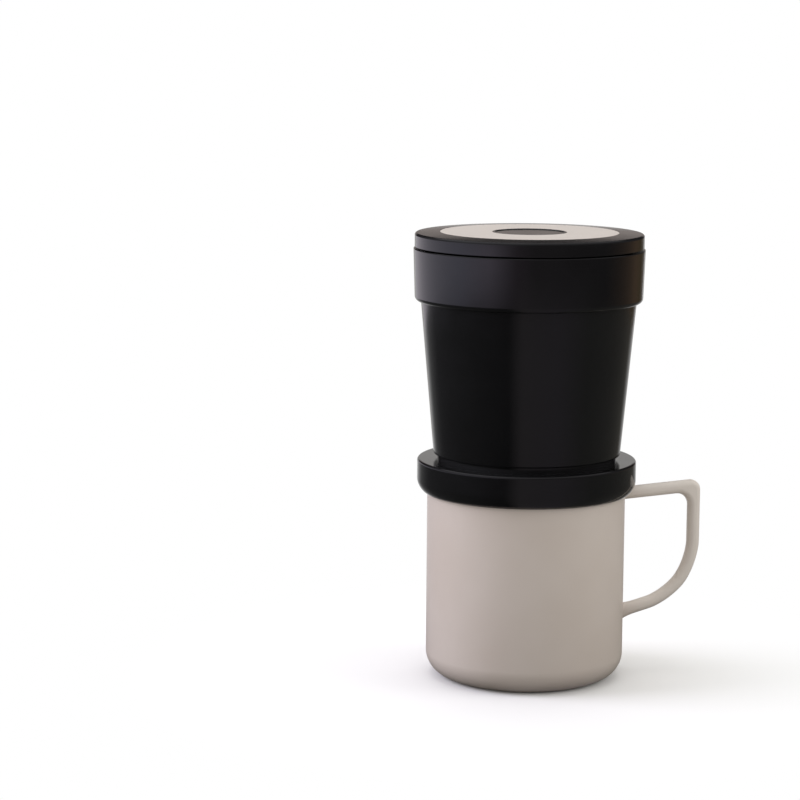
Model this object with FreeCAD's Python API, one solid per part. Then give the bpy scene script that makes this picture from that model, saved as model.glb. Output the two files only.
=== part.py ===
import FreeCAD, Part
import math
import os

# All sizes are millimetres. The mug stands on Z = 0, its axis is Z and its handle points along +X.

# Mug
mug_radius = 40.3
mug_height = 84.0
mug_wall = 3.6
mug_floor = 6.0
mug_heel_round = 10.0
mug_inner_round = 7.0
mug_lip_round = 1.2
foot_ring_width = 3.4
foot_recess = 1.5

# Mug handle, a slim D of rounded section
handle_bar = 5.2
handle_flat = 0.4
handle_gap = 31.3
handle_rise = 2.0
handle_drop = 23.0
corner_outside = 4.4
corner_inside = 4.4
sweep_round = 26.4
sweep_slope = 14.0
root_flare = 1.2
root_flare_reach = 8.0
root_flare_round = 20.0
handle_clear = 0.8

# Base flange, which caps the mug
mug_clear = 0.6
skirt_wall = 3.6
skirt_depth = 9.3
skirt_round = 6.1
skirt_lip = 0.8
gasket_height = 1.6
gasket_clear = 0.2
web_height = 4.1
flange_edge_round = 1.0

# Neck on the flange, set back under the shell
shadow_gap = 2.2
shadow_depth = 1.6
neck_overlap = 4.0
neck_wall = 1.2

# Tapered outer shell
shell_height = 62.1
shell_setback = 2.4
shell_top_radius = 43.5
shell_wall = 2.0
shell_edge_round = 0.7
shell_tongue = 11.0

# Filter basket, which lifts out of the shell
slide_gap = 0.4
basket_wall = 1.6
basket_proud = 1.0
basket_flange = 2.0
basket_ledge = 1.3
basket_ledge_height = 1.0
seal_height = 1.0
seal_width = 1.8

# Collar round the top of the basket
collar_gap = 0.3
collar_wall = 2.2
collar_height = 21.4
collar_flare = 0.7
collar_under_round = 2.0
collar_top_round = 0.4
collar_lip = 1.8

# Filter floor: spokes, gauze and clamp ring
spoke_count = 3
spoke_width = 4.2
spoke_height = 2.0
frame_ring = 1.4
hub_radius = 4.2
gauze_height = 0.4
clamp_height = 2.0

# Water spreader
spreader_rim = 1.6
spreader_depth = 20.0
spreader_wall = 1.6
spreader_taper = 2.0
spreader_plate = 2.0
drip_hole = 2.2
drip_pitch = 7.2
drip_rings = 4
knob_radius = 5.5
knob_stem_radius = 2.6
knob_height = 15.0
knob_round = 2.2

# Lid
lid_setback = 0.5
lid_gap = 0.4
lid_height = 6.2
lid_edge_round = 1.0
lid_bevel_drop = 0.5
lid_top_wall = 2.4
plug_gap = 0.8
plug_wall = 2.6
liner_height = 1.4
plate_radius = 36.0
plate_height = 1.2
boss_radius = 15.0
boss_flange = 2.5
boss_flange_height = 1.2
boss_lip = 0.8
boss_dip = 0.3
lid_seal_height = 2.0
lid_seal_depth = 1.0
lid_seal_rise = 1.6
lid_seal_gap = 0.1

# Levels from the table up
web_under = mug_height + gasket_height
skirt_bottom = web_under - skirt_depth
flange_top = web_under + web_height
shell_bottom = flange_top + shadow_gap
collar_bottom = shell_bottom + shell_height
shell_rim = collar_bottom + shell_tongue
neck_top = shell_bottom + neck_overlap
flange_under = shell_rim + seal_height
flange_over = flange_under + basket_flange
collar_top = collar_bottom + collar_height
rim_over = flange_over + spreader_rim
lid_bottom = collar_top + lid_gap
lid_top = lid_bottom + lid_height

# Radii from the axis out
skirt_inner = mug_radius + mug_clear
flange_radius = skirt_inner + skirt_wall
shell_bottom_radius = mug_radius - shell_setback
neck_radius = shell_bottom_radius - shell_wall
neck_step = shell_bottom_radius - shadow_depth
neck_inner = neck_radius - neck_wall
basket_radius = neck_inner - slide_gap
floor_radius = basket_radius - basket_wall
shell_top_inner = shell_top_radius - shell_wall
basket_top_radius = shell_top_inner - slide_gap
basket_top_inner = basket_top_radius - basket_wall
collar_inner = shell_top_radius + collar_gap
collar_radius = collar_inner + collar_wall
collar_mouth = collar_inner - collar_lip
rim_radius = collar_mouth - slide_gap
lid_radius = collar_radius + collar_flare - lid_setback
plug_radius = collar_mouth - plug_gap
plug_inner = plug_radius - plug_wall
cup_radius = basket_top_inner - slide_gap

Vector = FreeCAD.Vector
axis = Vector(0, 0, 1)


def outline(points):
    # A closed outline in the XZ plane; a third number on a point rounds that corner
    corners = []
    count = len(points)
    for i in range(count):
        here = Vector(points[i][0], 0, points[i][1])
        before = Vector(points[i - 1][0], 0, points[i - 1][1])
        after = Vector(points[(i + 1) % count][0], 0, points[(i + 1) % count][1])
        radius = points[i][2] if len(points[i]) > 2 else 0
        if not radius:
            corners.append((here, None, here))
            continue
        back = (before - here).normalize()
        ahead = (after - here).normalize()
        half = back.getAngle(ahead) / 2
        reach = radius / math.tan(half)
        to_centre = (back + ahead).normalize()
        middle = here + to_centre * (radius / math.sin(half) - radius)
        corners.append((here + back * reach, middle, here + ahead * reach))
    edges = []
    for i in range(count):
        start, middle, end = corners[i]
        following = corners[(i + 1) % count][0]
        if middle:
            edges.append(Part.Arc(start, middle, end).toShape())
        if (following - end).Length > 1e-4:
            edges.append(Part.makeLine(end, following))
    return Part.Wire(edges)


def turned(points):
    return Part.Face(outline(points)).revolve(Vector(0, 0, 0), axis, 360)


def ring(inner, outer, bottom, top, rounding=0):
    points = [(inner, bottom), (outer, bottom), (outer, top), (inner, top)]
    return turned([(r, z, rounding) if rounding else (r, z) for r, z in points])


def disc(radius, bottom, top):
    return Part.makeCylinder(radius, top - bottom, Vector(0, 0, bottom), axis)


def save(name, shape):
    shape.exportStep("parts/" + name + ".step")


os.makedirs("parts", exist_ok=True)

# Mug cup with a raised foot ring
mug_inner = mug_radius - mug_wall
foot_outer = mug_radius - mug_heel_round
foot_inner = foot_outer - foot_ring_width
mug_cup = turned([
    (0, foot_recess),
    (foot_inner - foot_recess, foot_recess),
    (foot_inner, 0),
    (mug_radius, 0, mug_heel_round),
    (mug_radius, mug_height, mug_lip_round),
    (mug_inner, mug_height, mug_lip_round),
    (mug_inner, mug_floor, mug_inner_round),
    (0, mug_floor),
])
save("mug_cup", mug_cup)

# Mug handle: a D cut from one thickness and rounded along its edges. Its top corner is square outside
# and round inside, and its lower arm widens where it joins the wall.
half_bar = handle_bar / 2
root = mug_inner + mug_wall / 2
root_z = skirt_bottom - handle_clear - half_bar
upright = mug_radius + handle_gap + half_bar
rise_angle = math.atan2(handle_rise, upright - root)
slope = math.radians(sweep_slope)
sweep_x = upright - sweep_round
sweep_z = root_z + handle_rise - handle_drop


def bar_line(x, side):
    # Height of the top bar's upper (1) or lower (-1) edge
    return root_z + (x - root) * math.tan(rise_angle) + side * half_bar / math.cos(rise_angle)


def arm_line(x, side):
    # Height of the lower arm's upper (1) or lower (-1) edge, which runs into the sweep
    return sweep_z + (x - sweep_x) * math.tan(slope) + (side * half_bar - sweep_round) / math.cos(slope)


outer_x = upright + half_bar
inner_x = upright - half_bar
flare_x = mug_radius + root_flare_reach
handle_outline = outline([
    (root, bar_line(root, 1)),
    (outer_x, bar_line(outer_x, 1), corner_outside),
    (outer_x, arm_line(outer_x, -1), sweep_round + half_bar),
    (flare_x, arm_line(flare_x, -1), root_flare_round),
    (root, arm_line(root, -1) - root_flare),
    (root, arm_line(root, 1) + root_flare),
    (flare_x, arm_line(flare_x, 1), root_flare_round),
    (inner_x, arm_line(inner_x, 1), sweep_round - half_bar),
    (inner_x, bar_line(inner_x, -1), corner_inside),
    (root, bar_line(root, -1)),
])
handle_blank = Part.Face(handle_outline).extrude(Vector(0, handle_bar, 0))
handle_blank.translate(Vector(0, -half_bar, 0))
long_edges = []
for edge in handle_blank.Edges:
    first, last = edge.Vertexes[0], edge.Vertexes[-1]
    runs_along = abs(first.Y - last.Y) < 1e-6
    at_root = max(first.X, last.X) < root + 1e-6
    if runs_along and not at_root:
        long_edges.append(edge)
mug_handle = handle_blank.makeFillet((handle_bar - handle_flat) / 2, long_edges)
mug_handle = mug_handle.cut(disc(mug_radius, 0, mug_height))
save("mug_handle", mug_handle.Solids[0])

# Base flange: skirt over the mug, web on its rim and the set-back neck above
skirt_turn = skirt_wall - skirt_lip
skirt_start = skirt_bottom + math.sqrt(skirt_round ** 2 - (skirt_round - skirt_turn) ** 2)
arc_turn = math.acos((skirt_round - skirt_turn) / skirt_round) / 2
arc_centre = Vector(flange_radius - skirt_round, 0, skirt_start)
arc_start = Vector(flange_radius, 0, skirt_start)
arc_middle = arc_centre + Vector(math.cos(arc_turn), 0, -math.sin(arc_turn)) * skirt_round
arc_end = Vector(flange_radius - skirt_turn, 0, skirt_bottom)
edge_low = Vector(flange_radius, 0, flange_top - flange_edge_round)
edge_high = Vector(flange_radius - flange_edge_round, 0, flange_top)
edge_offset = flange_edge_round * (1 - math.sqrt(0.5))
edge_middle = Vector(flange_radius - edge_offset, 0, flange_top - edge_offset)
inside = [(neck_step, flange_top), (neck_step, shell_bottom), (neck_radius, shell_bottom)]
inside += [(neck_radius, neck_top), (neck_inner, neck_top), (neck_inner, web_under)]
inside += [(skirt_inner, web_under), (skirt_inner, skirt_bottom)]
inside = [Vector(r, 0, z) for r, z in inside]
edges = [Part.Arc(arc_end, arc_middle, arc_start).toShape()]
edges.append(Part.makeLine(arc_start, edge_low))
edges.append(Part.Arc(edge_low, edge_middle, edge_high).toShape())
for start, end in zip([edge_high] + inside, inside + [arc_end]):
    edges.append(Part.makeLine(start, end))
base_flange = Part.Face(Part.Wire(edges)).revolve(Vector(0, 0, 0), axis, 360)
save("base_flange", base_flange)

# Soft gasket between the web and the mug's rim
rim_gasket = ring(mug_inner - gasket_clear, skirt_inner - gasket_clear, mug_height, web_under)
save("rim_gasket", rim_gasket)

# Outer shell: seated on the neck, tapered, with a straight tongue inside the collar
shell_slope = (shell_top_radius - shell_bottom_radius) / shell_height
neck_line = shell_bottom_radius + shell_slope * neck_overlap - shell_wall
dripper_shell = turned([
    (neck_radius, shell_bottom),
    (shell_bottom_radius, shell_bottom, shell_edge_round),
    (shell_top_radius, collar_bottom),
    (shell_top_radius, shell_rim),
    (shell_top_inner, shell_rim),
    (shell_top_inner, collar_bottom),
    (neck_line, neck_top),
    (neck_radius, neck_top),
])
save("dripper_shell", dripper_shell)

# Filter basket: straight foot inside the neck, tapered wall and a hanging flange
basket_bottom = web_under - basket_proud
ledge_top = basket_bottom + basket_ledge_height
filter_basket = turned([
    (floor_radius - basket_ledge, basket_bottom),
    (basket_radius, basket_bottom),
    (basket_radius, neck_top),
    (basket_top_radius, collar_bottom),
    (basket_top_radius, flange_under),
    (collar_inner, flange_under),
    (collar_inner, flange_over),
    (basket_top_inner, flange_over),
    (basket_top_inner, collar_bottom),
    (floor_radius, neck_top),
    (floor_radius, ledge_top),
    (floor_radius - basket_ledge, ledge_top),
])
save("filter_basket", filter_basket)

# Seal between the basket's flange and the shell's rim
basket_seal = ring(shell_top_radius - seal_width, shell_top_radius, shell_rim, flange_under)
save("basket_seal", basket_seal)

# Collar: skirt round the shell's tongue, lip on the basket's flange
collar_band = turned([
    (collar_inner, collar_bottom),
    (collar_radius, collar_bottom, collar_under_round),
    (collar_radius + collar_flare, collar_top, collar_top_round),
    (collar_mouth, collar_top, collar_top_round),
    (collar_mouth, flange_over),
    (collar_inner, flange_over),
])
save("collar_band", collar_band)

# Filter floor, from below: spokes, gauze and the ring that clamps it
frame_top = ledge_top + spoke_height
spoke_frame = ring(floor_radius - frame_ring, floor_radius, ledge_top, frame_top)
spoke_frame = spoke_frame.fuse(disc(hub_radius, ledge_top, frame_top))
for i in range(spoke_count):
    spoke_reach = floor_radius - frame_ring / 2
    spoke = Part.makeBox(spoke_reach, spoke_width, spoke_height, Vector(0, -spoke_width / 2, ledge_top))
    spoke.rotate(Vector(0, 0, 0), axis, i * 360 / spoke_count)
    spoke_frame = spoke_frame.fuse(spoke)
save("spoke_frame", spoke_frame.removeSplitter().Solids[0])
gauze_top = frame_top + gauze_height
save("mesh_screen", disc(floor_radius, frame_top, gauze_top))
clamp_ring = ring(floor_radius - frame_ring, floor_radius, gauze_top, gauze_top + clamp_height)
save("clamp_ring", clamp_ring)

# Water spreader: a shallow cup hung on the basket's flange, with drip holes in its floor
cup_bottom = flange_over - spreader_depth
cup_floor = cup_bottom + spreader_plate
cup_low = cup_radius - spreader_taper
spreader_cup = turned([
    (0, cup_bottom),
    (cup_low, cup_bottom),
    (cup_radius, flange_over),
    (rim_radius, flange_over),
    (rim_radius, rim_over),
    (cup_radius - spreader_wall, rim_over),
    (cup_low - spreader_wall, cup_floor),
    (0, cup_floor),
])
drips = [disc(knob_stem_radius, cup_bottom, cup_floor)]
for i in range(1, drip_rings + 1):
    for j in range(6 * i):
        angle = 2 * math.pi * j / (6 * i)
        drip = disc(drip_hole / 2, cup_bottom, cup_floor)
        drip.translate(Vector(math.cos(angle), math.sin(angle), 0) * (drip_pitch * i))
        drips.append(drip)
spreader_cup = spreader_cup.cut(Part.makeCompound(drips))
save("spreader_cup", spreader_cup)

# Knob that lifts the spreader, its stem set in the floor
knob_top = cup_floor + knob_height
knob_under = cup_floor + knob_height / 2
spreader_knob = turned([
    (0, cup_bottom),
    (knob_stem_radius, cup_bottom),
    (knob_stem_radius, knob_under),
    (knob_radius, knob_under + knob_round),
    (knob_radius, knob_top, knob_round),
    (0, knob_top),
])
save("spreader_knob", spreader_knob)

# Lid cover: rim above the collar, plug in its mouth, seats for the plate, the boss and the seal
plate_seat = lid_top - plate_height
boss_seat = plate_seat - boss_flange_height
top_under = plate_seat - lid_top_wall
groove_bottom = rim_over + lid_seal_rise
groove_top = groove_bottom + lid_seal_height
groove_radius = plug_radius - lid_seal_depth
lid_cover = turned([
    (plug_inner, rim_over),
    (plug_radius, rim_over),
    (plug_radius, groove_bottom),
    (groove_radius, groove_bottom),
    (groove_radius, groove_top),
    (plug_radius, groove_top),
    (plug_radius, lid_bottom),
    (lid_radius, lid_bottom),
    (lid_radius, lid_top - lid_bevel_drop, lid_edge_round),
    (plate_radius, lid_top),
    (plate_radius, plate_seat),
    (boss_radius + boss_flange, plate_seat),
    (boss_radius + boss_flange, boss_seat),
    (boss_radius, boss_seat),
    (boss_radius, top_under),
    (plug_inner, top_under),
])
save("lid_cover", lid_cover)

# Pale plate let into the lid, holding the boss in its middle down by its flange
save("lid_plate", ring(boss_radius, plate_radius, plate_seat, lid_top))
boss_inner = boss_radius - boss_lip
lid_boss = turned([
    (0, top_under),
    (boss_radius, top_under),
    (boss_radius, boss_seat),
    (boss_radius + boss_flange, boss_seat),
    (boss_radius + boss_flange, plate_seat),
    (boss_radius, plate_seat),
    (boss_radius, lid_top),
    (boss_inner, lid_top),
    (boss_inner - boss_dip, lid_top - boss_dip),
    (0, lid_top - boss_dip),
])
save("lid_boss", lid_boss)

# Liner that closes the underside of the lid
save("lid_liner", disc(plug_inner, rim_over, rim_over + liner_height))

# Soft ring in the plug's groove
lid_seal = ring(groove_radius, collar_mouth - lid_seal_gap, groove_bottom, groove_top)
save("lid_seal", lid_seal)
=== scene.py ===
import bmesh
import bpy
import math
from mathutils import Matrix, Vector


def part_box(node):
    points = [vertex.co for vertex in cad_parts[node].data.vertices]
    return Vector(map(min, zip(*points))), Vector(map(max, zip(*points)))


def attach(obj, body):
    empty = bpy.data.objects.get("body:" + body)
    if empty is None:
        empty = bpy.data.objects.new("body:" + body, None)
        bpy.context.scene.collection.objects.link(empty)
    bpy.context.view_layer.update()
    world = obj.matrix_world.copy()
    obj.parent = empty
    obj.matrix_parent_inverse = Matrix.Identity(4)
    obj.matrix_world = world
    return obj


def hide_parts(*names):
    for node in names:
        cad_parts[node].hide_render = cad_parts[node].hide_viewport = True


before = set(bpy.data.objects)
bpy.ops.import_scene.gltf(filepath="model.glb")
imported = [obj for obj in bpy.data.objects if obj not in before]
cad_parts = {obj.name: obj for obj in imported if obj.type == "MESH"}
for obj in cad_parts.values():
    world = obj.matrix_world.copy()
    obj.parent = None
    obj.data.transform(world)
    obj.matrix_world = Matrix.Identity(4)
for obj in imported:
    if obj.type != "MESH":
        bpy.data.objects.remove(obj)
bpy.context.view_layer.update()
mm = 0.001               # pieces are written in millimetres, the scene is in metres
tiny = 1e-6              # metres: points this close count as one
upAxis = Vector((0, 0, 1))


# height of a CAD node's foot or top, and its outer radius, in millimetres
def footOf(node):
    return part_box(node)[0].z / mm


def topOf(node):
    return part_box(node)[1].z / mm


def radiusOf(node):
    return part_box(node)[1].y / mm


mugRadius = radiusOf("mug_cup")
mugTop = topOf("mug_cup")
skirtFoot = footOf("base_flange")
webUnder = topOf("rim_gasket")
neckTop = topOf("base_flange")
shellFoot = footOf("dripper_shell")
collarFoot = footOf("collar_band")
collarTop = topOf("collar_band")
lidTop = topOf("lid_cover")


# sources linked into a node's sockets, by name or number
def feed(tree, node, links):
    for key, source in links.items():
        tree.links.new(source, node.inputs[key])


# node, its settings (an input's value or a property) and the sockets that feed it
def addNode(tree, kind, settings=None, links=None):
    node = tree.nodes.new(kind)
    for key, value in (settings or {}).items():
        if isinstance(key, int) or key in node.inputs:
            node.inputs[key].default_value = value
        else:
            setattr(node, key, value)
    feed(tree, node, links or {})
    return node


# a Mix node's sockets by number, since those for numbers and for colours share their names
mixFactor, numberA, numberB, colourA, colourB = 0, 2, 3, 6, 7
numberOut, colourOut = 0, 2


# sRGB hex to the linear colour that sockets take
def fromHex(code):
    values = [int(code[i:i + 2], 16) / 255 for i in (1, 3, 5)]
    return [v / 12.92 if v <= 0.04045 else ((v + 0.055) / 1.055) ** 2.4 for v in values] + [1]


# texture scale whose features are this many millimetres apart
def perMm(size):
    return 1 / (size * mm)


def newMaterial(name):
    material = bpy.data.materials.new(name)
    material.use_nodes = True
    tree = material.node_tree
    place = addNode(tree, "ShaderNodeTexCoord").outputs["Object"]
    return material, tree, tree.nodes["Principled BSDF"], place


# porcelain, dipped in glaze and fired: a warm grey glaze, a little uneven, soft gloss, a few iron specks, a
# bare matt foot where the glaze was wiped off, and painted light that draws the handle paler than the cup
def glazedPorcelain():
    look = {"thick": "#cdc2b8", "thin": "#c7bbb0", "paintedLightTone": "#d9d0c6", "speck": "#a3978b", "bare": "#d2c7b9",
            "pool": 40.0, "speckGap": 2.6, "glazeEnd": 0.9, "glazeFull": 1.5, "paintedLightFrom": 41.0,
            "paintedLightFull": 54.0}
    material, tree, shader, place = newMaterial("glazedPorcelain")
    where = addNode(tree, "ShaderNodeSeparateXYZ", None, {0: place})
    pool = addNode(tree, "ShaderNodeTexNoise", {"Scale": perMm(look["pool"]), "Detail": 2.0},
                   {"Vector": place})
    pooled = addNode(tree, "ShaderNodeMapRange",
                     {"interpolation_type": "SMOOTHSTEP", "From Min": 0.25, "From Max": 0.75},
                     {"Value": pool.outputs[0]})
    cup = addNode(tree, "ShaderNodeMix",
                  {"data_type": "RGBA", colourA: fromHex(look["thick"]), colourB: fromHex(look["thin"])},
                  {mixFactor: pooled.outputs[0]})
    # painted light: past the cup's wall, out along the handle, the glaze is drawn paler in place of the
    # light it catches
    paintedHandleLight = addNode(tree, "ShaderNodeMapRange",
                   {"interpolation_type": "SMOOTHSTEP", "From Min": look["paintedLightFrom"] * mm,
                    "From Max": look["paintedLightFull"] * mm},
                   {"Value": where.outputs["X"]})
    glaze = addNode(tree, "ShaderNodeMix", {"data_type": "RGBA", colourB: fromHex(look["paintedLightTone"])},
                    {mixFactor: paintedHandleLight.outputs[0], colourA: cup.outputs[colourOut]})
    # specks under 0.4 mm across, one in a few cells
    cells = addNode(tree, "ShaderNodeTexVoronoi", {"Scale": perMm(look["speckGap"])}, {"Vector": place})
    dots = addNode(tree, "ShaderNodeMapRange", {"From Min": 0.07, "From Max": 0.045},
                   {"Value": cells.outputs["Distance"]})
    chance = addNode(tree, "ShaderNodeSeparateColor", None, {0: cells.outputs["Color"]})
    rare = addNode(tree, "ShaderNodeMapRange", {"From Min": 0.72, "From Max": 0.95, "To Max": 0.55},
                   {"Value": chance.outputs[0]})
    specks = addNode(tree, "ShaderNodeMath", {"operation": "MULTIPLY"},
                     {0: dots.outputs[0], 1: rare.outputs[0]})
    specked = addNode(tree, "ShaderNodeMix", {"data_type": "RGBA", colourB: fromHex(look["speck"])},
                      {mixFactor: specks.outputs[0], colourA: glaze.outputs[colourOut]})
    # glaze stops just above the foot ring
    glazed = addNode(tree, "ShaderNodeMapRange",
                     {"From Min": look["glazeEnd"] * mm, "From Max": look["glazeFull"] * mm},
                     {"Value": where.outputs["Z"]})
    colour = addNode(tree, "ShaderNodeMix", {"data_type": "RGBA", colourA: fromHex(look["bare"])},
                     {mixFactor: glazed.outputs[0], colourB: specked.outputs[colourOut]})
    gloss = addNode(tree, "ShaderNodeMapRange", {"To Min": 0.3, "To Max": 0.37}, {"Value": pool.outputs[0]})
    rough = addNode(tree, "ShaderNodeMix", {numberA: 0.8},
                    {mixFactor: glazed.outputs[0], numberB: gloss.outputs[0]})
    shader.inputs["IOR"].default_value = 1.5
    feed(tree, shader, {"Base Color": colour.outputs[colourOut], "Roughness": rough.outputs[numberOut]})
    return material


# ABS from a polished mould: deep black, sharp reflections that swim a little, faint handling haze
def polishedBlackAbs():
    look = {"deep": "#0a0a0b", "worn": "#111112", "haze": 22.0, "peel": 5.0}
    material, tree, shader, place = newMaterial("polishedBlackAbs")
    haze = addNode(tree, "ShaderNodeTexNoise", {"Scale": perMm(look["haze"]), "Detail": 3.0},
                   {"Vector": place})
    colour = addNode(tree, "ShaderNodeMix",
                     {"data_type": "RGBA", colourA: fromHex(look["deep"]), colourB: fromHex(look["worn"])},
                     {mixFactor: haze.outputs[0]})
    rough = addNode(tree, "ShaderNodeMapRange",
                    {"From Min": 0.25, "From Max": 0.75, "To Min": 0.09, "To Max": 0.16},
                    {"Value": haze.outputs[0]})
    peel = addNode(tree, "ShaderNodeTexNoise", {"Scale": perMm(look["peel"]), "Detail": 0.0},
                   {"Vector": place})
    bump = addNode(tree, "ShaderNodeBump", {"Strength": 0.06, "Distance": 0.1 * mm},
                   {"Height": peel.outputs[0]})
    shader.inputs["IOR"].default_value = 1.53
    feed(tree, shader, {"Base Color": colour.outputs[colourOut], "Roughness": rough.outputs[0],
                        "Normal": bump.outputs[0]})
    return material


# polypropylene from a spark-eroded mould: satin, with a fine even grain that breaks up its highlights;
# the grain is drawn coarser than the real one, which is nearer 0.1 mm
def grainedPolypropylene(name, look):
    material, tree, shader, place = newMaterial(name)
    grain = addNode(tree, "ShaderNodeTexNoise", {"Scale": perMm(look["grain"]), "Detail": 2.0},
                    {"Vector": place})
    flow = addNode(tree, "ShaderNodeTexNoise", {"Scale": perMm(look["flow"]), "Detail": 2.0},
                   {"Vector": place})
    colour = addNode(tree, "ShaderNodeMix",
                     {"data_type": "RGBA", colourA: fromHex(look["deep"]), colourB: fromHex(look["high"])},
                     {mixFactor: grain.outputs[0]})
    rough = addNode(tree, "ShaderNodeMapRange", {"To Min": look["smooth"], "To Max": look["rough"]},
                    {"Value": flow.outputs[0]})
    bump = addNode(tree, "ShaderNodeBump", {"Strength": look["bump"], "Distance": 0.1 * mm},
                   {"Height": grain.outputs[0]})
    shader.inputs["IOR"].default_value = 1.49
    feed(tree, shader, {"Base Color": colour.outputs[colourOut], "Roughness": rough.outputs[0],
                        "Normal": bump.outputs[0]})
    return material


# silicone rubber from a compression mould: dull, soft, holds a little lint
def pressedSilicone():
    look = {"skin": "#1c1c1d", "lint": "#4a4845", "lintGap": 1.4, "mottle": 9.0}
    material, tree, shader, place = newMaterial("pressedSilicone")
    lint = addNode(tree, "ShaderNodeTexNoise", {"Scale": perMm(look["lintGap"]), "Detail": 2.0},
                   {"Vector": place})
    caught = addNode(tree, "ShaderNodeMapRange", {"From Min": 0.62, "From Max": 0.72, "To Max": 0.5},
                     {"Value": lint.outputs[0]})
    colour = addNode(tree, "ShaderNodeMix",
                     {"data_type": "RGBA", colourA: fromHex(look["skin"]), colourB: fromHex(look["lint"])},
                     {mixFactor: caught.outputs[0]})
    mottle = addNode(tree, "ShaderNodeTexNoise", {"Scale": perMm(look["mottle"])}, {"Vector": place})
    rough = addNode(tree, "ShaderNodeMapRange", {"To Min": 0.55, "To Max": 0.72},
                    {"Value": mottle.outputs[0]})
    shader.inputs["IOR"].default_value = 1.43
    feed(tree, shader, {"Base Color": colour.outputs[colourOut], "Roughness": rough.outputs[0]})
    return material


# phosphor bronze wire, drawn and woven: brown gold, darker where coffee has stained it
def drawnBronzeWire():
    look = {"bright": "#a07c50", "stained": "#6b4f33", "stain": 8.0}
    material, tree, shader, place = newMaterial("drawnBronzeWire")
    stain = addNode(tree, "ShaderNodeTexNoise", {"Scale": perMm(look["stain"]), "Detail": 3.0},
                    {"Vector": place})
    stained = addNode(tree, "ShaderNodeMapRange", {"From Min": 0.35, "From Max": 0.65},
                      {"Value": stain.outputs[0]})
    colour = addNode(tree, "ShaderNodeMix",
                     {"data_type": "RGBA", colourA: fromHex(look["bright"]),
                      colourB: fromHex(look["stained"])},
                     {mixFactor: stained.outputs[0]})
    rough = addNode(tree, "ShaderNodeMapRange", {"To Min": 0.3, "To Max": 0.5}, {"Value": stain.outputs[0]})
    shader.inputs["Metallic"].default_value = 1.0
    feed(tree, shader, {"Base Color": colour.outputs[colourOut], "Roughness": rough.outputs[0]})
    return material


porcelain = glazedPorcelain()
glossBlack = polishedBlackAbs()
satinBlack = grainedPolypropylene("grainedBlackPolypropylene", {
    "deep": "#101011", "high": "#19191a", "grain": 0.6, "flow": 26.0,
    "smooth": 0.4, "rough": 0.56, "bump": 0.25})
silicone = pressedSilicone()
# pale and warm like the mug
creamPlastic = grainedPolypropylene("grainedCreamPolypropylene", {
    "deep": "#c3bab0", "high": "#d1c9c0", "grain": 0.6, "flow": 18.0,
    "smooth": 0.46, "rough": 0.58, "bump": 0.15})
bronzeWire = drawnBronzeWire()
print("materials mixed")

# how finely round shapes are cut; edges that bend by more than sharpFrom degrees stay sharp
facets = {"sharpFrom": 38.0, "turnSteps": 160, "arcLeast": 3, "arcPerMm": 1.5, "arcMost": 14}


# mesh from a bmesh: smooth, sharp only at real corners, on its body, in place of its CAD nodes
def finishPiece(bm, name, body, slot, material, *nodes):
    skin = bpy.data.meshes.new(name)
    bm.to_mesh(skin)
    bm.free()
    skin.shade_smooth()
    skin.set_sharp_from_angle(angle=math.radians(facets["sharpFrom"]))
    skin.materials.append(material)
    piece = bpy.data.objects.new(name, skin)
    bpy.context.scene.collection.objects.link(piece)
    piece.modifiers.new("flatFaces", "WEIGHTED_NORMAL").keep_sharp = True
    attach(piece, body)
    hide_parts(*nodes)
    return piece


# corners or edges turned into arcs
def roundOff(bm, geom, offset, segments, affect="EDGES"):
    bmesh.ops.bevel(bm, geom=geom, offset=offset, offset_type="OFFSET", affect=affect, segments=segments,
                    profile=0.5, material=-1)


# edges that meet these points, each once
def edgesOf(verts):
    return list(dict.fromkeys(edge for vert in verts for edge in vert.link_edges))


# closed outline in (x, height, corner rounding), as one face in the XZ plane
def drawOutline(corners):
    bm = bmesh.new()
    verts = [bm.verts.new((corner[0] * mm, 0, corner[1] * mm)) for corner in corners]
    bm.faces.new(verts)
    places = [vert.co.copy() for vert in verts]
    for i, corner in enumerate(corners):
        if len(corner) < 3:
            continue
        back = places[i - 1] - places[i]
        ahead = places[(i + 1) % len(places)] - places[i]
        # from the corner to where its arc starts
        reach = corner[2] * mm / math.tan(back.angle(ahead) / 2)
        segments = min(facets["arcMost"], facets["arcLeast"] + round(facets["arcPerMm"] * corner[2]))
        roundOff(bm, [verts[i]], reach, segments, "VERTICES")
    return bm


# outline in (radius, height, corner rounding), spun round the axis into a closed piece
def spinOutline(corners, steps=facets["turnSteps"]):
    bm = drawOutline(corners)
    bmesh.ops.delete(bm, geom=bm.faces[:], context="FACES_ONLY")
    onAxis = [edge for edge in bm.edges if all(abs(vert.co.x) < tiny for vert in edge.verts)]
    bmesh.ops.delete(bm, geom=onAxis, context="EDGES")
    bmesh.ops.spin(bm, geom=bm.verts[:] + bm.edges[:], cent=(0, 0, 0), axis=upAxis, angle=math.tau,
                   steps=steps, use_merge=True)
    bmesh.ops.remove_doubles(bm, verts=bm.verts, dist=tiny)
    bmesh.ops.recalc_face_normals(bm, faces=bm.faces)
    return bm


mugCup = {"wall": 3.6, "floor": 6.0, "heelRound": 10.0, "insideRound": 7.0, "lipRound": 1.2,
          "footWidth": 3.4, "footRecess": 1.5, "footRound": 0.6}


# straight cup on a foot ring
def makeMugCup():
    inside = mugRadius - mugCup["wall"]
    footInner = mugRadius - mugCup["heelRound"] - mugCup["footWidth"]
    bm = spinOutline([
        (0, mugCup["footRecess"]),
        (footInner - mugCup["footRecess"], mugCup["footRecess"], mugCup["footRound"]),
        (footInner, 0, mugCup["footRound"]),
        (mugRadius, 0, mugCup["heelRound"]),
        (mugRadius, mugTop, mugCup["lipRound"]),
        (inside, mugTop, mugCup["lipRound"]),
        (inside, mugCup["floor"], mugCup["insideRound"]),
        (0, mugCup["floor"]),
    ])
    return finishPiece(bm, "mugCup", "mug", "porcelain", porcelain, "mug_cup")


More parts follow.
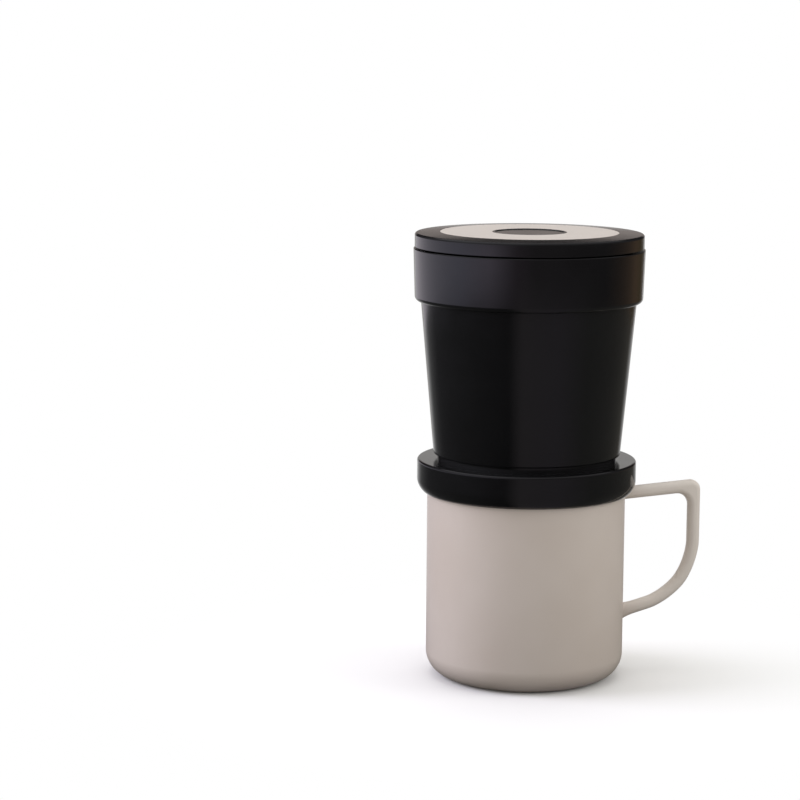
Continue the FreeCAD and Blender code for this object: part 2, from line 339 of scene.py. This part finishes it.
mugHandle = {"flangeGap": 0.8, "rise": 2.0, "drop": 23.0, "flat": 0.4, "edgeSteps": 10, "weld": 0.01,
             "cornerOutside": 4.4, "cornerInside": 5.2, "sweepRound": 26.4, "slope": 14.0,
             "flare": 1.4, "flareReach": 8.0, "rootFillet": 2.4, "topFillet": 0.3, "rootCuts": 16}
barHalf = radiusOf("mug_handle")
handleRoot = mugRadius - mugCup["wall"] / 2
handleRootZ = skirtFoot - mugHandle["flangeGap"] - barHalf
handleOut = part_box("mug_handle")[1].x / mm
handleClimb = math.atan2(mugHandle["rise"], handleOut - barHalf - handleRoot)
armSlope = math.radians(mugHandle["slope"])
sweepX = handleOut - barHalf - mugHandle["sweepRound"]
sweepZ = handleRootZ + mugHandle["rise"] - mugHandle["drop"]


# height of the top bar or of the lower arm at x: its upper edge (1), middle (0) or lower edge (-1)
def barLine(x, side):
    return handleRootZ + (x - handleRoot) * math.tan(handleClimb) + side * barHalf / math.cos(handleClimb)


def armLine(x, side):
    drop = (side * barHalf - mugHandle["sweepRound"]) / math.cos(armSlope)
    return sweepZ + (x - sweepX) * math.tan(armSlope) + drop


# the sweep's outer (1) or inner (-1) arc as two corners, so that each bends little and its rounding
# stays true
def sweepCorners(side):
    sweepTurn = math.pi / 2 - armSlope
    radius = mugHandle["sweepRound"] + side * barHalf
    out = radius / math.cos(sweepTurn / 4)
    turns = [sweepTurn * part for part in (0.25, 0.75)]
    return [(sweepX + out * math.cos(turn), sweepZ - out * math.sin(turn), radius) for turn in turns]


# both roots swell into the wall, and the lower arm also widens towards it
def flareRoots(bm):
    reach, fillet = mugHandle["flareReach"], mugHandle["rootFillet"]
    # cuts near the wall, closer together towards it
    for i in range(mugHandle["rootCuts"]):
        off = reach * (i / (mugHandle["rootCuts"] - 1)) ** 2
        whole = bm.verts[:] + bm.edges[:] + bm.faces[:]
        bmesh.ops.bisect_plane(bm, geom=whole, dist=tiny / 10, plane_co=((mugRadius + off) * mm, 0, 0),
                               plane_no=(1, 0, 0))
    barWay = Vector((math.cos(handleClimb), 0, math.sin(handleClimb)))
    armWay = Vector((math.cos(armSlope), 0, math.sin(armSlope)))
    armUp = Vector((-math.sin(armSlope), 0, math.cos(armSlope)))
    for vert in bm.verts:
        off = max(0, vert.co.xy.length / mm - mugRadius)
        if off >= reach:
            continue
        isBar = vert.co.z > sweepZ * mm
        axisZ = barLine(handleRoot, 0) if isBar else armLine(handleRoot, 0)
        way = barWay if isBar else armWay
        spoke = vert.co / mm - Vector((handleRoot, 0, axisZ))
        spoke -= way * spoke.dot(way)
        move = Vector((0, 0, 0))
        if not isBar:
            move += armUp * spoke.dot(armUp) / barHalf * mugHandle["flare"] * (1 - off / reach) ** 2
        if off < fillet and spoke.length > tiny / mm:
            move += spoke.normalized() * (fillet - math.sqrt(fillet ** 2 - (fillet - off) ** 2))
        if isBar and move.z > 0:
            move.z *= mugHandle["topFillet"] / fillet    # kept low under the flange
        vert.co += move * mm


# slim D of rounded section: top corner square outside and round inside, long sweep, lower arm
def makeMugHandle():
    inside = handleOut - 2 * barHalf
    bm = drawOutline([
        (handleRoot, barLine(handleRoot, 1)),
        (handleOut, barLine(handleOut, 1), mugHandle["cornerOutside"]),
        *sweepCorners(1),
        (handleRoot, armLine(handleRoot, -1)),
        (handleRoot, armLine(handleRoot, 1)),
        *reversed(sweepCorners(-1)),
        (inside, barLine(inside, -1), mugHandle["cornerInside"]),
        (handleRoot, barLine(handleRoot, -1)),
    ])
    bmesh.ops.remove_doubles(bm, verts=bm.verts, dist=mugHandle["weld"] * mm)
    bmesh.ops.translate(bm, verts=bm.verts, vec=(0, -barHalf * mm, 0))
    made = bmesh.ops.extrude_face_region(bm, geom=bm.faces[:])["geom"]
    moved = [item for item in made if isinstance(item, bmesh.types.BMVert)]
    bmesh.ops.translate(bm, verts=moved, vec=(0, 2 * barHalf * mm, 0))
    bmesh.ops.recalc_face_normals(bm, faces=bm.faces)
    longEdges = []
    for edge in bm.edges:
        first, last = (vert.co for vert in edge.verts)
        atRoot = max(first.x, last.x) < handleRoot * mm + tiny
        if abs(first.y - last.y) < tiny and not atRoot:
            longEdges.append(edge)
    roundOff(bm, longEdges, (barHalf - mugHandle["flat"] / 2) * mm, mugHandle["edgeSteps"])
    flareRoots(bm)
    return finishPiece(bm, "mugHandle", "mug", "porcelain", porcelain, "mug_handle")


makeMugCup()
makeMugHandle()
print("mug turned and handled")

shell = {"wall": 2.0, "setback": 2.4, "edgeRound": 0.7, "rimRound": 0.4}
shellFootRadius = mugRadius - shell["setback"]
shellTopRadius = radiusOf("dripper_shell")
neckRadius = shellFootRadius - shell["wall"]


# tapered wall with a straight tongue at the top
def makeDripperShell():
    shellRim = topOf("dripper_shell")
    topInner = shellTopRadius - shell["wall"]
    taper = (shellTopRadius - shellFootRadius) / (collarFoot - shellFoot)
    neckLine = shellFootRadius + taper * (neckTop - shellFoot) - shell["wall"]
    bm = spinOutline([
        (neckRadius, shellFoot),
        (shellFootRadius, shellFoot, shell["edgeRound"]),
        (shellTopRadius, collarFoot),
        (shellTopRadius, shellRim, shell["rimRound"]),
        (topInner, shellRim, shell["rimRound"]),
        (topInner, collarFoot),
        (neckLine, neckTop, shell["rimRound"]),
        (neckRadius, neckTop),
    ])
    return finishPiece(bm, "dripperShell", "dripper", "gloss_black", glossBlack, "dripper_shell")


flange = {"skirtWall": 3.6, "skirtLip": 0.8, "skirtTuck": 1.8, "skirtRound": 6.0, "lipRound": 0.25,
          "shadowGap": 2.2, "shadowDepth": 1.6, "edgeRound": 1.0, "neckWall": 1.2, "smallRound": 0.3}


# cap over the mug's rim, with a set-back neck that the shell stands on
def makeBaseFlange():
    outside = radiusOf("base_flange")
    skirtInner = outside - flange["skirtWall"]
    lip = skirtInner + flange["skirtLip"]
    flangeTop = shellFoot - flange["shadowGap"]
    step = shellFootRadius - flange["shadowDepth"]
    neckInner = neckRadius - flange["neckWall"]
    small = flange["smallRound"]
    bm = spinOutline([
        (neckInner, webUnder, small),
        (skirtInner, webUnder, small),
        (skirtInner, skirtFoot, flange["lipRound"]),
        (lip, skirtFoot),
        (outside, skirtFoot + flange["skirtTuck"], flange["skirtRound"]),
        (outside, flangeTop, flange["edgeRound"]),
        (step, flangeTop),
        (step, shellFoot),
        (neckRadius, shellFoot),
        (neckRadius, neckTop, small),
        (neckInner, neckTop, small),
    ])
    return finishPiece(bm, "baseFlange", "dripper", "gloss_black", glossBlack, "base_flange")


seal = {"round": 0.35, "gasketOverlap": 0.2, "basketWidth": 1.8, "lidDepth": 1.0}


# plain ring between two radii, with its four corners eased
def makeRing(name, node, inner, body, slot, material, rounding):
    outer, low, high = radiusOf(node), footOf(node), topOf(node)
    bm = spinOutline([
        (inner, low, rounding),
        (outer, low, rounding),
        (outer, high, rounding),
        (inner, high, rounding),
    ])
    return finishPiece(bm, name, body, slot, material, node)


# seal ring of soft rubber
def makeSeal(name, node, inner, body):
    return makeRing(name, node, inner, body, "silicone", silicone, seal["round"])


makeBaseFlange()
makeDripperShell()
makeSeal("rimGasket", "rim_gasket", mugRadius - mugCup["wall"] - seal["gasketOverlap"], "dripper")
print("dripper turned")

basket = {"wall": 1.6, "slideGap": 0.4, "ledge": 1.3, "ledgeHeight": 1.0, "ledgeRound": 0.2,
          "flangeHeight": 2.0, "edgeRound": 0.4}
basketFootRadius = neckRadius - flange["neckWall"] - basket["slideGap"]
floorRadius = basketFootRadius - basket["wall"]
basketTopRadius = shellTopRadius - shell["wall"] - basket["slideGap"]
basketTopInner = basketTopRadius - basket["wall"]


# inner cup that hangs by its flange and holds the ground coffee
def makeFilterBasket():
    foot, over, outer = footOf("filter_basket"), topOf("filter_basket"), radiusOf("filter_basket")
    under = over - basket["flangeHeight"]
    ledgeTop = foot + basket["ledgeHeight"]
    ledgeInner = floorRadius - basket["ledge"]
    easy = basket["edgeRound"]
    bm = spinOutline([
        (ledgeInner, foot, basket["ledgeRound"]),
        (basketFootRadius, foot, easy),
        (basketFootRadius, neckTop),
        (basketTopRadius, collarFoot),
        (basketTopRadius, under, easy),
        (outer, under, easy),
        (outer, over, easy),
        (basketTopInner, over, easy),
        (basketTopInner, collarFoot),
        (floorRadius, neckTop),
        (floorRadius, ledgeTop),
        (ledgeInner, ledgeTop, basket["ledgeRound"]),
    ])
    return finishPiece(bm, "filterBasket", "filter", "satin_black", satinBlack, "filter_basket")


collar = {"flare": 0.7, "gap": 0.3, "underRound": 2.0, "topRound": 0.4, "lip": 1.8, "innerRound": 0.3}
collarInner = shellTopRadius + collar["gap"]
collarMouth = collarInner - collar["lip"]


# wide band that grips the basket's flange and skirts the shell
def makeCollarBand():
    outside = radiusOf("collar_band")
    over = topOf("filter_basket")
    bm = spinOutline([
        (collarInner, collarFoot, collar["innerRound"]),
        (outside - collar["flare"], collarFoot, collar["underRound"]),
        (outside, collarTop, collar["topRound"]),
        (collarMouth, collarTop, collar["topRound"]),
        (collarMouth, over),
        (collarInner, over),
    ])
    return finishPiece(bm, "collarBand", "filter", "gloss_black", glossBlack, "collar_band")


spokes = {"count": 3, "width": 4.2, "ring": 1.4, "hub": 4.2, "hubSteps": 48, "edgeRound": 0.5,
          "edgeSteps": 4}
ringInner = floorRadius - spokes["ring"]


# ring, hub and three bars that carry the gauze
def makeSpokeFrame():
    low, high = footOf("spoke_frame"), topOf("spoke_frame")
    easy = spokes["edgeRound"]
    bm = spinOutline([
        (ringInner, low, easy),
        (floorRadius, low, easy),
        (floorRadius, high, easy),
        (ringInner, high, easy),
    ])
    # bars reach a little into the hub and the ring
    start = spokes["hub"] - easy
    reach = ringInner + easy
    for i in range(spokes["count"]):
        turn = Matrix.Rotation(math.tau * i / spokes["count"], 4, "Z")
        middle = Matrix.Translation(Vector(((start + reach) / 2, 0, (low + high) / 2)) * mm)
        size = Vector((reach - start, spokes["width"], high - low)) * mm
        shape = turn @ middle @ Matrix.Diagonal(size.to_4d())
        bar = bmesh.ops.create_cube(bm, size=1, matrix=shape)["verts"]
        longEdges = [edge for edge in edgesOf(bar) if edge.calc_length() > spokes["width"] * mm + tiny]
        roundOff(bm, longEdges, easy * mm, spokes["edgeSteps"])
    middle = Matrix.Translation(upAxis * (low + high) / 2 * mm)
    hub = bmesh.ops.create_cone(bm, cap_ends=True, segments=spokes["hubSteps"], radius1=spokes["hub"] * mm,
                                radius2=spokes["hub"] * mm, depth=(high - low) * mm, matrix=middle)["verts"]
    rims = [edge for edge in edgesOf(hub) if abs(edge.verts[0].co.z - edge.verts[1].co.z) < tiny]
    roundOff(bm, rims, easy * mm, spokes["edgeSteps"])
    return finishPiece(bm, "spokeFrame", "filter", "satin_black", satinBlack, "spoke_frame")


gauze = {"pitch": 1.1, "wire": 0.13, "lift": 0.12, "margin": 0.4}    # real weave is nearer 0.25 mm


# woven wires: each one passes over and under the ones it crosses
def makeGauze():
    middle = (footOf("mesh_screen") + topOf("mesh_screen")) / 2
    radius = radiusOf("mesh_screen") - gauze["margin"]
    count = int(radius / gauze["pitch"])
    curve = bpy.data.curves.new("gauzeWires", "CURVE")
    curve.dimensions = "3D"
    curve.bevel_depth = gauze["wire"] * mm
    curve.bevel_resolution = 0
    curve.resolution_u = 2
    curve.use_fill_caps = True
    for across in (0, 1):
        for i in range(-count, count + 1):
            aside = i * gauze["pitch"]
            half = math.sqrt(radius ** 2 - aside ** 2)
            crossings = int(half / gauze["pitch"])
            if crossings < 2:
                continue
            wire = curve.splines.new("NURBS")
            wire.points.add(2 * crossings)
            for j in range(-crossings, crossings + 1):
                over = 1 if (i + j + across) % 2 else -1
                along = j * gauze["pitch"]
                x, y = (aside, along) if across else (along, aside)
                wire.points[j + crossings].co = (x * mm, y * mm, (middle + over * gauze["lift"]) * mm, 1)
            wire.order_u = 3
            wire.use_endpoint_u = True
    wires = bpy.data.objects.new("gauzeWires", curve)
    bm = bmesh.new()
    bm.from_mesh(bpy.data.meshes.new_from_object(wires))
    bpy.data.objects.remove(wires)
    return finishPiece(bm, "gauzeWires", "filter", "gauze", bronzeWire, "mesh_screen")


clamp = {"round": 0.5}

makeFilterBasket()
makeCollarBand()
makeSpokeFrame()
makeGauze()
makeRing("clampRing", "clamp_ring", ringInner, "filter", "satin_black", satinBlack, clamp["round"])
makeSeal("basketSeal", "basket_seal", shellTopRadius - seal["basketWidth"], "filter")
print("filter built and woven")

knob = {"stem": 2.6, "head": 7.5, "round": 2.2, "brimRound": 0.8, "neckRound": 1.2, "dish": 0.6, "steps": 64}


# mushroom knob with a shallow dished top
def makeSpreaderKnob():
    foot, top, outer = footOf("spreader_knob"), topOf("spreader_knob"), radiusOf("spreader_knob")
    under = top - knob["head"]
    bm = spinOutline([
        (0, foot),
        (knob["stem"], foot),
        (knob["stem"], under, knob["neckRound"]),
        (outer, under + knob["round"], knob["brimRound"]),
        (outer, top, knob["round"]),
        (0, top - knob["dish"]),
    ], knob["steps"])
    return finishPiece(bm, "spreaderKnob", "spreader", "satin_black", satinBlack, "spreader_knob")


spreader = {"wall": 1.6, "taper": 2.0, "plate": 2.0, "rim": 1.6, "edgeRound": 0.4, "heelRound": 0.8,
            "insideRound": 1.0, "plainEdge": 3.0, "hole": 2.2, "holeSteps": 20, "pitch": 7.2, "rings": 4,
            "perRing": 6}


# places and radii of the holes in the spreader's floor: the knob's socket, then rings of drip holes,
# each ring with perRing more than the one inside it
def spreaderHoles():
    holes = [(Vector((0, 0, 0)), knob["stem"])]
    for ring in range(1, spreader["rings"] + 1):
        count = spreader["perRing"] * ring
        for step in range(count):
            place = Vector((spreader["pitch"] * ring * mm, 0, 0))
            place.rotate(Matrix.Rotation(math.tau * step / count, 3, "Z"))
            holes.append((place, spreader["hole"] / 2))
    return holes


# shallow cup hung by its rim: a turned wall round a drilled floor
def makeSpreaderCup():
    foot, top, outer = footOf("spreader_cup"), topOf("spreader_cup"), radiusOf("spreader_cup")
    under = top - spreader["rim"]
    floor = foot + spreader["plate"]
    radius = basketTopInner - basket["slideGap"]
    low = radius - spreader["taper"]
    drilled = low - spreader["plainEdge"]
    easy = spreader["edgeRound"]
    bm = spinOutline([
        (drilled, foot),
        (low, foot, spreader["heelRound"]),
        (radius, under, easy),
        (outer, under, easy),
        (outer, top, easy),
        (radius - spreader["wall"], top, easy),
        (low - spreader["wall"], floor, spreader["insideRound"]),
        (drilled, floor),
    ])
    # the turned part is opened at its inner end, where the drilled middle joins it
    innerEnd = [face for face in bm.faces
                if all(abs(vert.co.xy.length - drilled * mm) < tiny for vert in face.verts)]
    bmesh.ops.delete(bm, geom=innerEnd, context="FACES")
    # both sides of the floor get the same holes, and each hole's two rims are bridged
    holes = spreaderHoles()
    loops = [[] for hole in holes]
    for height in (foot, floor):
        edges = [edge for edge in bm.edges
                 if edge.is_boundary and abs(edge.verts[0].co.z - height * mm) < tiny]
        for loop, (place, holeRadius) in zip(loops, holes):
            where = Matrix.Translation(place + upAxis * height * mm)
            circle = bmesh.ops.create_circle(bm, cap_ends=False, radius=holeRadius * mm,
                                             segments=spreader["holeSteps"], matrix=where)["verts"]
            loop += edgesOf(circle)
            edges += edgesOf(circle)
        bmesh.ops.triangle_fill(bm, use_beauty=True, use_dissolve=False, edges=edges)
    for loop in loops:
        bmesh.ops.bridge_loops(bm, edges=loop)
    bmesh.ops.recalc_face_normals(bm, faces=bm.faces)
    return finishPiece(bm, "spreaderCup", "spreader", "satin_black", satinBlack, "spreader_cup")


makeSpreaderCup()
makeSpreaderKnob()
print("spreader built")

lid = {"gap": 0.4, "edgeRound": 1.0, "bevelDrop": 0.5, "topWall": 2.4, "plugGap": 0.8, "plugWall": 2.6,
       "seamRound": 0.25, "smallRound": 0.3}
plate = {"inner": 15.0, "edgeRound": 0.3}
boss = {"flangeHeight": 1.2, "lip": 0.8, "dip": 0.3, "lipRound": 0.2}
plateRadius = radiusOf("lid_plate")
plateSeat = footOf("lid_plate")
bossRadius = plate["inner"]
bossFlange = radiusOf("lid_boss")
bossSeat = plateSeat - boss["flangeHeight"]
plugRadius = collarMouth - lid["plugGap"]
grooveRadius = plugRadius - seal["lidDepth"]


# cover with a plug in the collar's mouth and seats for the plate, the boss and the seal
def makeLidCover():
    outside = radiusOf("lid_cover")
    rimUnder = collarTop + lid["gap"]
    plugFoot = footOf("lid_cover")
    plugInner = plugRadius - lid["plugWall"]
    grooveLow, grooveHigh = footOf("lid_seal"), topOf("lid_seal")
    topUnder = plateSeat - lid["topWall"]
    small = lid["smallRound"]
    bm = spinOutline([
        (plugInner, plugFoot, small),
        (plugRadius, plugFoot, small),
        (plugRadius, grooveLow),
        (grooveRadius, grooveLow),
        (grooveRadius, grooveHigh),
        (plugRadius, grooveHigh),
        (plugRadius, rimUnder, small),
        (outside, rimUnder, small),
        (outside, lidTop - lid["bevelDrop"], lid["edgeRound"]),
        (plateRadius, lidTop, lid["seamRound"]),
        (plateRadius, plateSeat),
        (bossFlange, plateSeat),
        (bossFlange, bossSeat),
        (bossRadius, bossSeat),
        (bossRadius, topUnder, small),
        (plugInner, topUnder, small),
    ])
    return finishPiece(bm, "lidCover", "lid", "gloss_black", glossBlack, "lid_cover")


# round middle of the lid, held down by its flange under the plate, its top dished inside a narrow lip
def makeLidBoss():
    inner = bossRadius - boss["lip"]
    floor = lidTop - boss["dip"]
    bm = spinOutline([
        (0, footOf("lid_boss")),
        (bossRadius, footOf("lid_boss")),
        (bossRadius, bossSeat),
        (bossFlange, bossSeat),
        (bossFlange, plateSeat),
        (bossRadius, plateSeat),
        (bossRadius, lidTop, boss["lipRound"]),
        (inner, lidTop, boss["lipRound"]),
        (inner - boss["dip"], floor, boss["lipRound"]),
        (0, floor),
    ])
    return finishPiece(bm, "lidBoss", "lid", "gloss_black", glossBlack, "lid_boss")


liner = {"ring": 7.0, "ringSlope": 1.0, "recess": 0.5, "ringRound": 0.4, "edgeRound": 0.2}


# disc that closes the underside, thicker round its edge
def makeLidLiner():
    low, high, outer = footOf("lid_liner"), topOf("lid_liner"), radiusOf("lid_liner")
    inner = outer - liner["ring"]
    middle = low + liner["recess"]
    bm = spinOutline([
        (0, middle),
        (inner - liner["ringSlope"], middle, liner["ringRound"]),
        (inner, low, liner["ringRound"]),
        (outer, low, liner["edgeRound"]),
        (outer, high, liner["edgeRound"]),
        (0, high),
    ])
    return finishPiece(bm, "lidLiner", "lid", "satin_black", satinBlack, "lid_liner")


makeLidCover()
makeRing("lidPlate", "lid_plate", plate["inner"], "lid", "cream_plate", creamPlastic, plate["edgeRound"])
makeLidBoss()
makeLidLiner()
makeSeal("lidSeal", "lid_seal", grooveRadius, "lid")
print("lid built")

# near, bounceFar and whiteFar are distances from the axis, in metres
stage = {"floorSize": 120.0, "floor": "#f4f3f1", "nearBounce": "#85837f", "farBounce": "#c4c2be",
         "near": 0.05, "bounceFar": 0.26, "whiteFar": 0.17, "world": 0.74}


# 1 for rays that carry a picture: straight from the camera, mirrored, or through something
def seenRays(tree, path):
    seen = path.outputs["Is Camera Ray"]
    for name in ("Is Glossy Ray", "Is Transmission Ray"):
        either = addNode(tree, "ShaderNodeMath", {"operation": "MAXIMUM"}, {0: seen, 1: path.outputs[name]})
        seen = either.outputs[0]
    return seen


# mesh that only dresses the set
def stageMesh(bm, name, material):
    skin = bpy.data.meshes.new(name)
    bm.to_mesh(skin)
    bm.free()
    skin.materials.append(material)
    holder = bpy.data.objects.new(name, skin)
    bpy.context.scene.collection.objects.link(holder)
    return holder


# pale floor: takes the shadow near the object, goes over to white further out, and throws less light
# back up than it shows
def makeFloor():
    material, tree, shader, place = newMaterial("paleFloor")
    path = addNode(tree, "ShaderNodeLightPath")
    out = addNode(tree, "ShaderNodeVectorMath", {"operation": "LENGTH"}, {0: place})
    thrown = addNode(tree, "ShaderNodeMapRange",
                     {"interpolation_type": "SMOOTHSTEP", "From Min": stage["near"],
                      "From Max": stage["bounceFar"]},
                     {"Value": out.outputs["Value"]})
    bounce = addNode(tree, "ShaderNodeMix",
                     {"data_type": "RGBA", colourA: fromHex(stage["nearBounce"]),
                      colourB: fromHex(stage["farBounce"])},
                     {mixFactor: thrown.outputs[0]})
    paint = addNode(tree, "ShaderNodeMix", {"data_type": "RGBA", colourA: fromHex(stage["floor"])},
                    {mixFactor: path.outputs["Is Diffuse Ray"], colourB: bounce.outputs[colourOut]})
    shader.inputs["Roughness"].default_value = 0.9
    shader.inputs["Specular IOR Level"].default_value = 0.1
    feed(tree, shader, {"Base Color": paint.outputs[colourOut]})
    far = addNode(tree, "ShaderNodeMapRange",
                  {"interpolation_type": "SMOOTHSTEP", "From Min": stage["near"],
                   "From Max": stage["whiteFar"]},
                  {"Value": out.outputs["Value"]})
    amount = addNode(tree, "ShaderNodeMath", {"operation": "MULTIPLY"},
                     {0: far.outputs[0], 1: seenRays(tree, path)})
    white = addNode(tree, "ShaderNodeEmission")
    mixed = addNode(tree, "ShaderNodeMixShader", None,
                    {0: amount.outputs[0], 1: shader.outputs[0], 2: white.outputs[0]})
    feed(tree, tree.nodes["Material Output"], {"Surface": mixed.outputs[0]})
    bm = bmesh.new()
    bmesh.ops.create_grid(bm, x_segments=1, y_segments=1, size=stage["floorSize"])
    stageMesh(bm, "paleFloor", material)


def makeWorld():
    world = bpy.data.worlds.new("softRoom")
    bpy.context.scene.world = world
    world.use_nodes = True
    tree = world.node_tree
    path = addNode(tree, "ShaderNodeLightPath")
    level = addNode(tree, "ShaderNodeMapRange", {"To Min": stage["world"], "To Max": 1.0},
                    {"Value": seenRays(tree, path)})
    background = tree.nodes["Background"]
    background.inputs["Color"].default_value = (1, 1, 1, 1)
    feed(tree, background, {"Strength": level.outputs[0]})


# what the gloss reflects, by the way it faces: 0 is the front (-Y), 90 the right (+X), 180 the back
wallTones = [(-90, "#e9e7ff"), (-58, "#e6daf0"), (-32, "#7a6c78"), (-15, "#5e585c"), (60, "#403d3e"),
             (108, "#866e58"), (124, "#5d513b"), (186, "#e0dce2"), (196, "#f0e9f2"), (270, "#e9e7ff")]
floorTones = [(-90, "#444441"), (-40, "#2b2b2b"), (-26, "#7e787b"), (14, "#78727a"), (48, "#5b5b57"),
              (124, "#625f59"), (150, "#e8e8e8"), (178, "#e8e8e8"), (200, "#7a7a7a"), (220, "#4d4d4d"),
              (270, "#444441")]
highTones = [(-90, "#b4b3ba"), (-10, "#6a686a"), (80, "#6a686a"), (125, "#343233"), (195, "#343233"),
             (270, "#b4b3ba")]
topTones = [(-90, "#d2d1d6"), (20, "#a09ea0"), (120, "#a09ea0"), (270, "#d2d1d6")]
paleTone = [(-90, "#c6c4c2"), (270, "#c6c4c2")]
greyTone = [(-90, "#9c938f"), (270, "#9c938f")]

# heights and reaches in metres, turns in degrees
flags = {"reach": 0.75, "middle": 0.03, "onFloor": 0.0005, "sill": 0.028, "low": 0.14, "high": 0.7,
         "peak": 0.95, "backReach": 0.45, "backLow": 0.195, "backHigh": 0.26, "backFrom": 138.0,
         "backTo": 184.0, "steps": 72}


# glow whose tone goes with the way it lies from the axis; the gradient starts and ends at the left (-90)
def flagPaint(name, tones):
    material, tree, shader, place = newMaterial(name)
    tree.nodes.remove(shader)
    facing = addNode(tree, "ShaderNodeTexGradient", {"gradient_type": "RADIAL"}, {"Vector": place})
    ramp = addNode(tree, "ShaderNodeValToRGB", None, {0: facing.outputs["Fac"]})
    stops = ramp.color_ramp.elements
    while len(stops) < len(tones):
        stops.new(0.5)
    for stop, (turn, code) in zip(stops, tones):
        stop.position = (turn + 90) / 360
        stop.color = fromHex(code)
    glow = addNode(tree, "ShaderNodeEmission", None, {"Color": ramp.outputs[0]})
    feed(tree, tree.nodes["Material Output"], {"Surface": glow.outputs[0]})
    return material


# studio flag, only for the gloss to reflect: an edge in the XZ plane, swung from one facing to another
def makeFlag(name, tones, inner, outer, fromTurn=-180, toTurn=180):
    bm = bmesh.new()
    ends = [bm.verts.new((reach, 0, height)) for reach, height in (inner, outer)]
    bm.edges.new(ends)
    first = Matrix.Rotation(math.radians(fromTurn - 90), 3, "Z")
    bmesh.ops.rotate(bm, verts=bm.verts, cent=(0, 0, 0), matrix=first)
    bmesh.ops.spin(bm, geom=bm.verts[:] + bm.edges[:], cent=(0, 0, 0), axis=upAxis,
                   angle=math.radians(toTurn - fromTurn), steps=flags["steps"])
    flag = stageMesh(bm, name, flagPaint(name, tones))
    flag.visible_camera = False
    flag.visible_diffuse = False
    flag.visible_shadow = False
    flag.visible_transmission = False


def makeFlags():
    reach, middle, back = flags["reach"], flags["middle"], flags["backReach"]
    sill, low, high = flags["sill"], flags["low"], flags["high"]
    backLow, backFrom, backTo = flags["backLow"], flags["backFrom"], flags["backTo"]
    makeFlag("floorFlag", floorTones, (middle, flags["onFloor"]), (reach, sill))
    makeFlag("wallFlag", wallTones, (reach, sill), (reach, low), backTo - 360, backFrom)
    makeFlag("highFlag", highTones, (reach, low), (reach, high))
    makeFlag("topFlag", topTones, (middle, flags["peak"]), (reach, high))
    makeFlag("backCard", paleTone, (back, 0), (back, backLow), backFrom, backTo)
    makeFlag("backFlag", greyTone, (back, backLow), (back, flags["backHigh"]), backFrom, backTo)


# soft lamps: a large one over the object, a cool one on its left, a weaker one on its right
lamps = {"topLamp": {"size": 0.9, "watts": 3.5, "place": (0.1, 0.25, 1.3), "colour": "#ffffff"},
         "leftLamp": {"size": 0.8, "watts": 13.0, "place": (-1.15, 0.35, 0.7), "colour": "#eeecff"},
         "rightLamp": {"size": 0.8, "watts": 4.5, "place": (1.04, -0.6, 0.7), "colour": "#ffffff"}}
lampAim = Vector((0, 0, 0.09))


def makeLamps():
    for name, lamp in lamps.items():
        light = bpy.data.lights.new(name, "AREA")
        light.size = lamp["size"]
        light.energy = lamp["watts"]
        light.color = fromHex(lamp["colour"])[:3]
        holder = bpy.data.objects.new(name, light)
        holder.location = lamp["place"]
        holder.visible_glossy = False
        holder.rotation_mode = "QUATERNION"
        holder.rotation_quaternion = (lampAim - holder.location).to_track_quat("-Z", "Y")
        bpy.context.scene.collection.objects.link(holder)


# where the photograph was taken from: turn is about the object's axis, aimLeft is off that axis
shot = {"distance": 1.0769, "height": 0.2768, "turn": -20.0, "aimLeft": 2.749, "lookDown": 8.651,
        "roll": 0.408, "lens": 120.63, "sensor": 36.0, "clipEnd": 300.0}


def makeCamera():
    turn = math.radians(shot["turn"])
    heading = math.radians(90 + shot["turn"] + shot["aimLeft"])
    down = math.radians(shot["lookDown"])
    roll = math.radians(shot["roll"])
    level = Vector((math.cos(heading), math.sin(heading), 0))
    forward = level * math.cos(down) - upAxis * math.sin(down)
    right = forward.cross(upAxis).normalized()
    up = right.cross(forward)
    tiltedRight = right * math.cos(roll) + up * math.sin(roll)
    tiltedUp = up * math.cos(roll) - right * math.sin(roll)
    camera = bpy.data.cameras.new("photoCamera")
    camera.lens = shot["lens"]
    camera.sensor_width = shot["sensor"]
    camera.sensor_fit = "HORIZONTAL"
    camera.clip_end = shot["clipEnd"]
    holder = bpy.data.objects.new("photoCamera", camera)
    place = Vector((math.sin(turn) * shot["distance"], -math.cos(turn) * shot["distance"], shot["height"]))
    spin = Matrix((tiltedRight, tiltedUp, -forward)).transposed().to_4x4()
    holder.matrix_world = Matrix.Translation(place) @ spin
    bpy.context.scene.collection.objects.link(holder)
    bpy.context.scene.camera = holder


makeFloor()
makeWorld()
makeLamps()
makeCamera()
makeFlags()
bpy.context.scene.view_settings.view_transform = "Standard"
print("stage lit")
